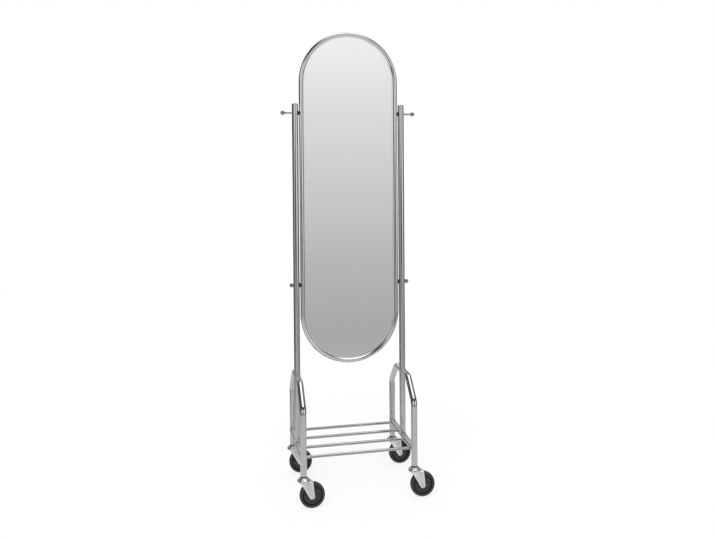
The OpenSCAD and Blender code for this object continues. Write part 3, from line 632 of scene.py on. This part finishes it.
board, tree, shader, place = start_material("board")
fibres = noise(tree, place, FIBRE_SCALE, 5.0, (1, 1, 0.45), 0.65)
colour_patches(tree, shader, between(tree, fibres, 0.0, 1.0), (0.20, 0.115, 0.062), (0.36, 0.225, 0.13))
shader.inputs["Specular IOR Level"].default_value = 0.3
join(tree, between(tree, fibres, 0.66, 0.86), shader.inputs["Roughness"])
waves = []
for way in ("X", "Z"):
    wave = add_node(tree, "ShaderNodeTexWave", {"bands_direction": way},
                    {"Scale": MESH_SCALE, "Distortion": MESH_WOBBLE})
    join(tree, place, wave.inputs["Vector"])
    waves.append(wave.outputs["Fac"])
print_height = maths(tree, "MULTIPLY", *waves)
print_height = maths(tree, "ADD", print_height, maths(tree, "MULTIPLY", fibres, FIBRE_SHARE))
bump(tree, shader, print_height, 0.6, 0.0004)
print(board.name, "with", len(waves), "crossed waves")

# %% [markdown]
# ## Finishes on the solids
# Each solid names the slot that it takes its finish from, so one table gives all of them.

# %% Assign the finishes
FINISHES = {
    "chrome_tube": chrome_tube,
    "chrome_frame": chrome_frame,
    "chrome_knob": chrome_knob,
    "mirror_glass": mirror_glass,
    "board": board,
    "steel_small": steel_small,
    "black_plastic": black_plastic,
    "brass": brass,
    "bearing_steel": bearing_steel,
    "plated_steel": plated_steel,
    "axle_steel": axle_steel,
    "wheel_plastic": wheel_plastic,
    "tyre": tyre_rubber,
}
slot_of = {part["node"]: part["material_slot"] for part in frame["record"]["subparts"]}
for name, solid in nodes.items():
    solid.data.materials.clear()
    solid.data.materials.append(FINISHES[slot_of[name]])
ALONG_X = ["shelf_bar_1", "shelf_bar_2", "shelf_bar_3", "shelf_bar_4"]
ALONG_Y = ["left_cross_tube", "right_cross_tube"]
OWN_FINISH = {name: chrome_bar for name in ALONG_X} | {name: chrome_cross for name in ALONG_Y}
# The lip takes the lighter chrome that paints its highlight.
OWN_FINISH["mirror_lip"] = lip_painted_highlight
OWN_FINISH["left_post_cap"] = chrome_cap
OWN_FINISH["right_post_cap"] = chrome_cap
for name, finish in OWN_FINISH.items():
    nodes[name].data.materials[0] = finish
print("finished solids:", len(nodes))

# %% [markdown]
# ## Selecting and shaping
# A mesh operator acts on whatever is selected. So each step below first takes one piece, and then
# picks its vertices, edges or faces by their place. Every piece is shaped at its final place, which
# keeps its object at the origin, where the patterns of the finishes expect it.

# %% Helpers to select
X_AXIS = Vector((1, 0, 0))
Y_AXIS = Vector((0, 1, 0))
Z_AXIS = Vector((0, 0, 1))
SAME_PLACE = 0.000001


def take(piece):
    bpy.ops.object.select_all(action="DESELECT")
    piece.select_set(True)
    bpy.context.view_layer.objects.active = piece


def open_mesh(piece):
    take(piece)
    bpy.ops.object.mode_set(mode="EDIT")
    bpy.ops.mesh.select_mode(type="VERT")
    bpy.ops.mesh.select_all(action="SELECT")


def close_mesh():
    bpy.ops.object.mode_set(mode="OBJECT")


def pick(piece, kind, test):
    bpy.ops.mesh.select_mode(type=kind)
    bpy.ops.mesh.select_all(action="DESELECT")
    mesh = bmesh.from_edit_mesh(piece.data)
    parts = {"VERT": mesh.verts, "EDGE": mesh.edges, "FACE": mesh.faces}[kind]
    chosen = [part for part in parts if test(part)]
    for part in chosen:
        part.select_set(True)
    bmesh.update_edit_mesh(piece.data)
    return len(chosen)


print("points closer than", SAME_PLACE, "m count as one")

# %% [markdown]
# A new piece gets its name, and its place goes into its mesh. Modifiers are applied at once, so the
# next operator works on the real faces. Every edge that turns by more than an angle gets a small
# bevel, because no real edge is perfectly sharp and the bevel is what catches the light.

# %% Helpers to name and to shape
def name_new(name):
    piece = bpy.context.object
    piece.name = name
    piece.data.name = name
    bpy.ops.object.transform_apply(location=True, rotation=True, scale=True)
    return piece


def apply_modifier(piece, kind, settings):
    take(piece)
    modifier = piece.modifiers.new(kind.lower(), kind)
    for setting, value in settings.items():
        setattr(modifier, setting, value)
    bpy.ops.object.modifier_apply(modifier=modifier.name)


def round_edges(piece, width, segments=2, angle=35):
    bevel = {"width": width, "segments": segments, "limit_method": "ANGLE"}
    bevel["angle_limit"] = math.radians(angle)
    apply_modifier(piece, "BEVEL", bevel)
    bpy.ops.object.shade_smooth_by_angle(angle=math.radians(angle))


print("shaping helpers ready")

# %% [markdown]
# A finished piece rides on the body of the solid that it stands for and replaces it, so that it moves
# as the solid does. A piece that has no finish of its own gets the one of the solid's slot.

# %% Helpers to copy, unite and dress
BODIES = frame["record"]["behaviour"]["bodies"]
BODY_OF = {node: body for body, members in BODIES.items() for node in members}


def copy_piece(piece, name, offset):
    take(piece)
    bpy.ops.object.duplicate()
    bpy.ops.transform.translate(value=offset)
    return name_new(name)


def unite(pieces):
    bpy.ops.object.select_all(action="DESELECT")
    for piece in pieces:
        piece.select_set(True)
    bpy.context.view_layer.objects.active = pieces[0]
    bpy.ops.object.join()
    return pieces[0]


def dress(piece, finish, body, replaced=None):
    if not piece.data.materials:
        piece.data.materials.append(FINISHES[finish])
    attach(piece, body)
    if replaced:
        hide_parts(replaced)


print("bodies:", sorted(BODIES))

# %% [markdown]
# ## Turned pieces
# Caps, tyres and wheels are round. On a lathe or in a press they all come from one half section, and
# so they do here: a plane is merged to a single vertex, the vertex is extruded along the section, and
# the chain is spun once around its axis. Doubles at the seam are merged before the normals are set.

# %% Spin a half section
TURN_STEPS = 96
SEED_SIZE = 0.001


def turned(name, section, centre, axis, steps=TURN_STEPS):
    """Spin (radius, height) points around an axis through the centre"""
    outwards = X_AXIS if axis == Z_AXIS else Z_AXIS
    places = [centre + outwards * radius + axis * height for radius, height in section]
    bpy.ops.object.select_all(action="DESELECT")
    bpy.ops.mesh.primitive_plane_add(size=SEED_SIZE, location=places[0])
    piece = name_new(name)
    open_mesh(piece)
    bpy.ops.mesh.merge(type="CENTER")
    for before, after in zip(places, places[1:]):
        bpy.ops.mesh.extrude_vertices_move(TRANSFORM_OT_translate={"value": after - before})
    bpy.ops.mesh.select_all(action="SELECT")
    bpy.ops.mesh.spin(steps=steps, angle=math.tau, center=centre, axis=axis)
    bpy.ops.mesh.select_all(action="SELECT")
    bpy.ops.mesh.remove_doubles(threshold=SAME_PLACE)
    bpy.ops.mesh.normals_make_consistent(inside=False)
    close_mesh()
    return piece


def millimetres(section):
    return [(radius / 1000, height / 1000) for radius, height in section]


print("a turned piece has", TURN_STEPS, "steps around")

# %% [markdown]
# The four casters are alike, so each piece is modelled at the front left leg and copied to the other
# three. The leg's axis and the axle are where the solids have them.

# %% Find the first caster and copy to the others
def to_corners(first, kind, slot):
    """Copy the front left piece to the other corners and let every one replace its solid"""
    corner_x, corner_y = CORNERS["front_left"]
    pieces = [first]
    for corner, (x, y) in CORNERS.items():
        if corner != "front_left":
            offset = (x - corner_x, y - corner_y, 0)
            pieces.append(copy_piece(first, "made_%s_%s" % (kind, corner), offset))
    for piece, corner in zip(pieces, CORNERS):
        solid = "%s_%s" % (kind, corner)
        dress(piece, slot, BODY_OF[solid], solid)
    print(kind, "faces each:", len(first.data.polygons), "of", [piece.name for piece in pieces])


LEG = Vector((*CORNERS["front_left"], 0))
TRAIL = middle("axle_front_left").x - LEG.x
AXLE = Vector((LEG.x + TRAIL, LEG.y, middle("axle_front_left").z))
print("first leg at", tuple(LEG), "axle at", tuple(AXLE))

# %% [markdown]
# ## Bearing caps
# Above every wheel sits the cap that covers the swivel bearing. It is pressed from sheet in three
# stages: a short neck up to the leg's plastic ring, a sloping dish with a tight bend around it, and
# below a narrow groove a skirt that flares over the ring of balls. The CAD cap has the envelope only,
# so its section is drawn again with the neck, the groove and the small radii of the press.

# %% Model the bearing caps
CAP_SECTION = [
    (5.6, 112.1), (5.6, 121.5), (13.1, 121.5), (13.4, 121.2), (13.5, 120.2), (13.9, 119.8),
    (14.4, 119.55), (17.8, 118.3), (18.5, 117.95), (19.1, 117.4), (19.5, 116.6), (19.7, 115.9),
    (19.9, 115.4), (20.4, 115.0), (22.6, 114.3), (23.7, 113.5), (24.5, 112.2), (24.9, 110.8),
    (25.0, 109.4), (25.0, 107.0), (24.6, 106.4), (22.6, 106.4), (22.6, 112.1), (5.6, 112.1),
]
CAP_EDGE = 0.0003

cap = turned("made_race_cap_front_left", millimetres(CAP_SECTION), LEG, Z_AXIS)
round_edges(cap, CAP_EDGE)
cap.data.materials.append(pressed_cap)
to_corners(cap, "race_cap", "plated_steel")

# %% [markdown]
# ## Caster forks
# A fork is one sheet of steel: two tapered sides, a bend into the top on each, and a raised rim along
# the whole edge that stiffens it. A block gets the two bends, loses the faces that the sheet doesn't
# have, and is then trimmed along the outline by flat cuts that touch the round lower end one after
# the other. The rim is an inset of the open sheet, and Solidify gives the sheet its thickness.

# %% Bend the fork's sheet
BLOCK_LENGTH = 0.080
BLOCK_HEIGHT = 0.090
BLOCK_MIDDLE_X = 0.015
FORK_HALF_WIDTH = 0.016
FORK_TOP = 0.106
FORK_BEND = 0.006
BEND_STEPS = 8
NEARLY = 0.001
NEARLY_FACING = 0.9

bpy.ops.object.select_all(action="DESELECT")
block_middle = LEG + Vector((BLOCK_MIDDLE_X, 0, FORK_TOP - BLOCK_HEIGHT / 2))
bpy.ops.mesh.primitive_cube_add(size=1, location=block_middle)
bpy.ops.transform.resize(value=(BLOCK_LENGTH, 2 * FORK_HALF_WIDTH, BLOCK_HEIGHT))
fork = name_new("made_fork_front_left")
open_mesh(fork)


def long_top_edge(edge):
    first, second = (vertex.co for vertex in edge.verts)
    on_top = min(first.z, second.z) > FORK_TOP - NEARLY
    return on_top and abs(first.y - second.y) < NEARLY


def end_or_bottom(face):
    return abs(face.normal.x) > NEARLY_FACING or face.normal.z < -NEARLY_FACING


bent = pick(fork, "EDGE", long_top_edge)
bpy.ops.mesh.bevel(offset=FORK_BEND, segments=BEND_STEPS, affect="EDGES", clamp_overlap=False)
pick(fork, "FACE", end_or_bottom)
bpy.ops.mesh.delete(type="FACE")
print("bent edges:", bent, "vertices:", len(bmesh.from_edit_mesh(fork.data).verts))

# %% [markdown]
# The outline of a side narrows from the top to a round end at the axle. Cuts that touch this round
# end, each turned a little further than the last, leave the round end and both slanting edges.

# %% Trim the sheet
FORK_FRONT = -0.0145
FORK_REAR = 0.035
FORK_END = Vector((0.031, 0, 0.0475))
FORK_END_RADIUS = 0.0105
FORK_CUTS = 17
CUT_GAP = 0.00002


def touch_angle(corner_x, turn):
    """Direction from the round end's centre to where the line to a top corner touches it"""
    towards = Vector((corner_x, 0, FORK_TOP)) - FORK_END
    return math.atan2(towards.z, towards.x) + turn * math.acos(FORK_END_RADIUS / towards.length)


first_angle = touch_angle(FORK_FRONT, 1)
last_angle = touch_angle(FORK_REAR, -1) + math.tau
for cut in range(FORK_CUTS):
    angle = first_angle + (last_angle - first_angle) * cut / (FORK_CUTS - 1)
    facing = Vector((math.cos(angle), 0, math.sin(angle)))
    cut_place = LEG + FORK_END + facing * FORK_END_RADIUS
    bpy.ops.mesh.select_all(action="SELECT")
    bpy.ops.mesh.bisect(plane_co=cut_place, plane_no=facing, clear_outer=True, threshold=SAME_PLACE)
bpy.ops.mesh.select_all(action="SELECT")
bpy.ops.mesh.remove_doubles(threshold=CUT_GAP)
print("trimmed sheet:", len(bmesh.from_edit_mesh(fork.data).verts), "vertices")

# %% [markdown]
# The rim gets a second finish, lighter than the flat inside it: a painted highlight for the light that
# the raised edge catches. It goes on the faces that the first inset leaves around the rest.

# %% Raise the rim and thicken the sheet
RIM_WIDTH = 0.0026
RIM_SLOPE = 0.0009
RIM_RISE = 0.0008
FORK_SHEET = 0.0025
FORK_EDGE = 0.0004

fork.data.materials.append(plated_steel)
fork.data.materials.append(painted_highlight_steel)
bpy.ops.mesh.select_mode(type="FACE")
bpy.ops.mesh.select_all(action="SELECT")
bpy.ops.mesh.inset(thickness=RIM_WIDTH, depth=0, use_boundary=True, use_even_offset=True)
bpy.ops.mesh.select_all(action="INVERT")
fork.active_material_index = 1
bpy.ops.object.material_slot_assign()
bpy.ops.mesh.select_all(action="INVERT")
bpy.ops.mesh.inset(thickness=RIM_SLOPE, depth=-RIM_RISE, use_boundary=True, use_even_offset=True)
bpy.ops.mesh.select_all(action="SELECT")
bpy.ops.mesh.normals_make_consistent(inside=False)
close_mesh()
apply_modifier(fork, "SOLIDIFY", {"thickness": FORK_SHEET, "offset": -1, "use_even_offset": True})
round_edges(fork, FORK_EDGE)
print("sheet with rim:", len(fork.data.polygons), "faces, box", fork.dimensions)

# %% [markdown]
# Three turned parts complete the fork: the round crown that carries the lower ball race, the cone
# that leads from the crown into the front edges of the sides, and a seat for each head of the axle.

# %% Add the crown, the cone and the axle seats
CROWN_SECTION = [
    (5.4, 103.5), (5.4, 106.15), (21.8, 106.15), (22.7, 105.7), (23.0, 104.9), (23.0, 103.4),
    (21.8, 103.4), (5.4, 103.5),
]
CROWN_EDGE = 0.0003
CONE_SECTION = [(22.4, 104.6), (9.8, 92.0), (8.4, 93.2), (20.0, 104.8), (22.4, 104.6)]
CONE_END_X = -0.004
SEAT_SECTION = [(3.6, 14.0), (3.6, 15.98), (6.7, 15.98), (7.3, 15.1), (7.3, 14.0), (3.6, 14.0)]
SEAT_STEPS = 48
SMALL_EDGE = 0.0002

crown = turned("fork_crown", millimetres(CROWN_SECTION), LEG, Z_AXIS)
round_edges(crown, CROWN_EDGE)
cone = turned("fork_cone", millimetres(CONE_SECTION), LEG, Z_AXIS)
open_mesh(cone)
cone_end = LEG + X_AXIS * CONE_END_X
bpy.ops.mesh.bisect(
    plane_co=cone_end, plane_no=X_AXIS, clear_outer=True, use_fill=True, threshold=SAME_PLACE)
bpy.ops.mesh.select_all(action="SELECT")
bpy.ops.mesh.normals_make_consistent(inside=False)
close_mesh()
round_edges(cone, SMALL_EDGE)
front_seat = turned("fork_seat", millimetres(SEAT_SECTION), AXLE, -Y_AXIS, SEAT_STEPS)
round_edges(front_seat, SMALL_EDGE)
rear_seat = turned("fork_seat_behind", millimetres(SEAT_SECTION), AXLE, Y_AXIS, SEAT_STEPS)
round_edges(rear_seat, SMALL_EDGE)
for part in (crown, cone):
    part.data.materials.append(plated_steel)
# The axle seats take the same lighter steel that paints the rim's highlight.
for part in (front_seat, rear_seat):
    part.data.materials.append(painted_highlight_steel)
fork = unite([fork, crown, cone, front_seat, rear_seat])
to_corners(fork, "fork", "plated_steel")

# %% [markdown]
# ## Tyres
# The tyre is a soft ring moulded around the wheel. Its tread is slightly round, a fine line is left
# where the mould halves meet, and a thin raised ring runs round each side near the tread. A deep
# groove runs between tyre and wheel. Its faces get a near-black plastic: painted shade for the
# shade that falls into the recess.

# %% Helper to paint shade into the groove
GROOVE_INNER = 0.0341
GROOVE_OUTER = 0.0388
GROOVE_HALF = 0.0097


def paint_groove_shade(piece, finish):
    piece.data.materials.append(finish)
    piece.data.materials.append(groove_painted_shade)
    open_mesh(piece)

    def in_groove(face):
        place = face.calc_center_median() - AXLE
        radius = math.hypot(place.x, place.z)
        return GROOVE_INNER < radius < GROOVE_OUTER and abs(place.y) < GROOVE_HALF

    count = pick(piece, "FACE", in_groove)
    piece.active_material_index = 1
    bpy.ops.object.material_slot_assign()
    close_mesh()
    print(piece.name, "groove faces:", count)


print("groove from", GROOVE_INNER, "to", GROOVE_OUTER)

# %% [markdown]
# Half of the tyre's section is written down, from the groove over the side to the middle of the
# tread, and the other half is its mirror image. The tread bulges slightly.

# %% Model the tyres
TYRE_SIDE = [
    (38.0, 5.5), (38.5, 8.6), (39.1, 10.2), (40.0, 11.3), (41.2, 11.8), (45.4, 11.5),
    (45.9, 12.0), (46.7, 12.0), (47.2, 11.7), (48.0, 11.3),
]
TREAD_ROUND = 40.0
TREAD_HALF_STEPS = [10.4, 8.8, 7.0, 5.2, 3.4, 1.7, 0.5]
MOULD_LINE = 0.18
TYRE_RADIUS = 50.0
TYRE_STEPS = 128


def tread_radius(y):
    return TYRE_RADIUS - TREAD_ROUND + math.sqrt(TREAD_ROUND**2 - y**2) - MOULD_LINE


def other_half(section):
    return [(radius, -y) for radius, y in reversed(section)]


half = TYRE_SIDE + [(tread_radius(y), y) for y in TREAD_HALF_STEPS]
tyre_section = half + [(TYRE_RADIUS, 0)] + other_half(half) + [TYRE_SIDE[0]]
tyre_piece = turned("made_tyre_front_left", millimetres(tyre_section), AXLE, Y_AXIS, TYRE_STEPS)
round_edges(tyre_piece, SMALL_EDGE, segments=1, angle=40)
paint_groove_shade(tyre_piece, tyre_rubber)
to_corners(tyre_piece, "tyre", "tyre")

# %% [markdown]
# ## Wheels
# The wheel inside the tyre is moulded plastic: a rim, a thin web with fillets at both ends, and a hub
# that turns on the axle's sleeve. Ribs that taper from the hub to the rim stand on both sides of the
# web. One rib is a cube whose outer end is scaled down, and the others are turned copies of it.

# %% Model the wheel's body
WHEEL_SIDE = [
    (6.08, 13.0), (9.7, 13.0), (10.4, 12.4), (10.8, 5.2), (11.4, 3.8), (12.8, 3.0), (29.2, 3.0),
    (30.4, 3.8), (31.0, 5.6), (31.4, 8.8), (31.9, 9.8), (33.4, 10.0), (34.1, 9.4), (34.5, 5.5),
    (38.0, 5.5),
]
WHEEL_EDGE = 0.0003

wheel_section = WHEEL_SIDE + other_half(WHEEL_SIDE) + [WHEEL_SIDE[0]]
wheel = turned("made_wheel_front_left", millimetres(wheel_section), AXLE, Y_AXIS)
round_edges(wheel, WHEEL_EDGE, angle=30)
print("wheel body:", len(wheel.data.polygons), "faces")

# %% Model the ribs and finish the wheels
RIB_COUNT = 8
RIB_THICKNESS = 0.003
RIB_INNER = 0.0095
RIB_OUTER = 0.0315
RIB_HUB_HALF = 0.0095
RIB_RIM_THIN = 0.8
RIB_RIM_SHARE = 0.68
RIB_EDGE = 0.0006

bpy.ops.object.select_all(action="DESELECT")
bpy.ops.mesh.primitive_cube_add(size=1, location=AXLE + Z_AXIS * (RIB_INNER + RIB_OUTER) / 2)
bpy.ops.transform.resize(value=(RIB_THICKNESS, 2 * RIB_HUB_HALF, RIB_OUTER - RIB_INNER))
rib = name_new("wheel_rib")
open_mesh(rib)
rib_middle = AXLE.z + (RIB_INNER + RIB_OUTER) / 2
pick(rib, "VERT", lambda vertex: vertex.co.z > rib_middle)
bpy.ops.transform.resize(value=(RIB_RIM_THIN, RIB_RIM_SHARE, 1))
close_mesh()
round_edges(rib, RIB_EDGE, angle=40)
wheel_parts = [wheel, rib]
for place in range(1, RIB_COUNT):
    take(rib)
    bpy.ops.object.duplicate()
    angle = math.tau * place / RIB_COUNT
    bpy.ops.transform.rotate(value=angle, orient_axis="Y", center_override=AXLE)
    wheel_parts.append(name_new("wheel_rib_%d" % place))
wheel = unite(wheel_parts)
# The wheel's faces in the groove get the same painted shade.
paint_groove_shade(wheel, wheel_plastic)
to_corners(wheel, "wheel", "wheel_plastic")

# %% [markdown]
# ## Weld beads
# The tubes are welded before they are plated, so a small smooth bead runs around every joint. Where
# two tubes meet at a right angle, the joint rises over the tube that runs on. The bead starts as a
# ring around the tube that ends: each half is stretched along the other tube and tilted away from it.
# Between tubes of one size the tilt is 45 degrees, and a thin bar on a tube needs much less.

# %% Helper to weld
BEAD_RADIUS = 0.0012
BEAD_STEPS_ALONG = 64
BEAD_STEPS_AROUND = 10
MIDDLE_GAP = 0.00001
LETTERS = "XYZ"
RING_TURN = {"X": (0, math.pi / 2, 0), "Y": (math.pi / 2, 0, 0), "Z": (0, 0, 0)}


def letter_of(axis):
    return LETTERS[max(range(3), key=lambda i: abs(axis[i]))]


def weld(name, crossing, away, other_axis, radius):
    """Bead around a tube that runs away from the axis of the tube that it stands on"""
    depth = math.sqrt(TUBE_R**2 - radius**2)
    centre = crossing + away * depth
    tilt = math.atan2(TUBE_R - depth, radius)
    bpy.ops.object.select_all(action="DESELECT")
    bpy.ops.mesh.primitive_torus_add(
        major_radius=radius, minor_radius=BEAD_RADIUS, major_segments=BEAD_STEPS_ALONG,
        minor_segments=BEAD_STEPS_AROUND, location=centre, rotation=RING_TURN[letter_of(away)])
    bead = name_new(name)
    open_mesh(bead)
    stretch = [1 + (1 / math.cos(tilt) - 1) * abs(part) for part in other_axis]
    turning = other_axis.cross(away)
    for half in (1, -1):
        pick(bead, "VERT", lambda vertex: (vertex.co - centre).dot(other_axis) * half > MIDDLE_GAP)
        bpy.ops.transform.resize(value=stretch, center_override=centre)
        way = -half if sum(turning) > 0 else half
        turning_letter = letter_of(turning)
        bpy.ops.transform.rotate(value=way * tilt, orient_axis=turning_letter, center_override=centre)
    close_mesh()
    bpy.ops.object.shade_smooth()
    return bead


print("bead radius", BEAD_RADIUS)

# %% [markdown]
# Each side has nine joints: the post and the stay on the hoop's top, the stay on the cross tube, the
# cross tube on both legs, and the four shelf bars on the cross tube. The beads become one piece.

# %% Model the weld beads
beads = []
for side in (-1, 1):
    hoop_top = Vector((side * POST_X, 0, CROWN_Z))
    cross_middle = Vector((side * POST_X, 0, CROSS_Z))
    beads.append(weld("post_foot_%d" % side, hoop_top, Z_AXIS, Y_AXIS, TUBE_R))
    beads.append(weld("stay_top_%d" % side, hoop_top, -Z_AXIS, Y_AXIS, TUBE_R))
    beads.append(weld("stay_foot_%d" % side, cross_middle, Z_AXIS, Y_AXIS, TUBE_R))
    for end in (-1, 1):
        crossing = Vector((side * POST_X, end * LEG_Y, CROSS_Z))
        beads.append(weld("cross_%d_%d" % (side, end), crossing, -end * Y_AXIS, Z_AXIS, TUBE_R))
    for bar in (1, 2, 3, 4):
        bar_place = middle("shelf_bar_%d" % bar)
        crossing = Vector((side * POST_X, bar_place.y, bar_place.z))
        beads.append(weld("bar_%d_%d" % (side, bar), crossing, -side * X_AXIS, Y_AXIS, BAR_R))
print("beads:", len(beads))
welds = unite(beads)
welds.name = "weld_beads"
welds.data.materials.append(weld_chrome)
dress(welds, "chrome_tube", BODY_OF["left_stay"])
print("weld beads:", len(welds.data.polygons), "faces")
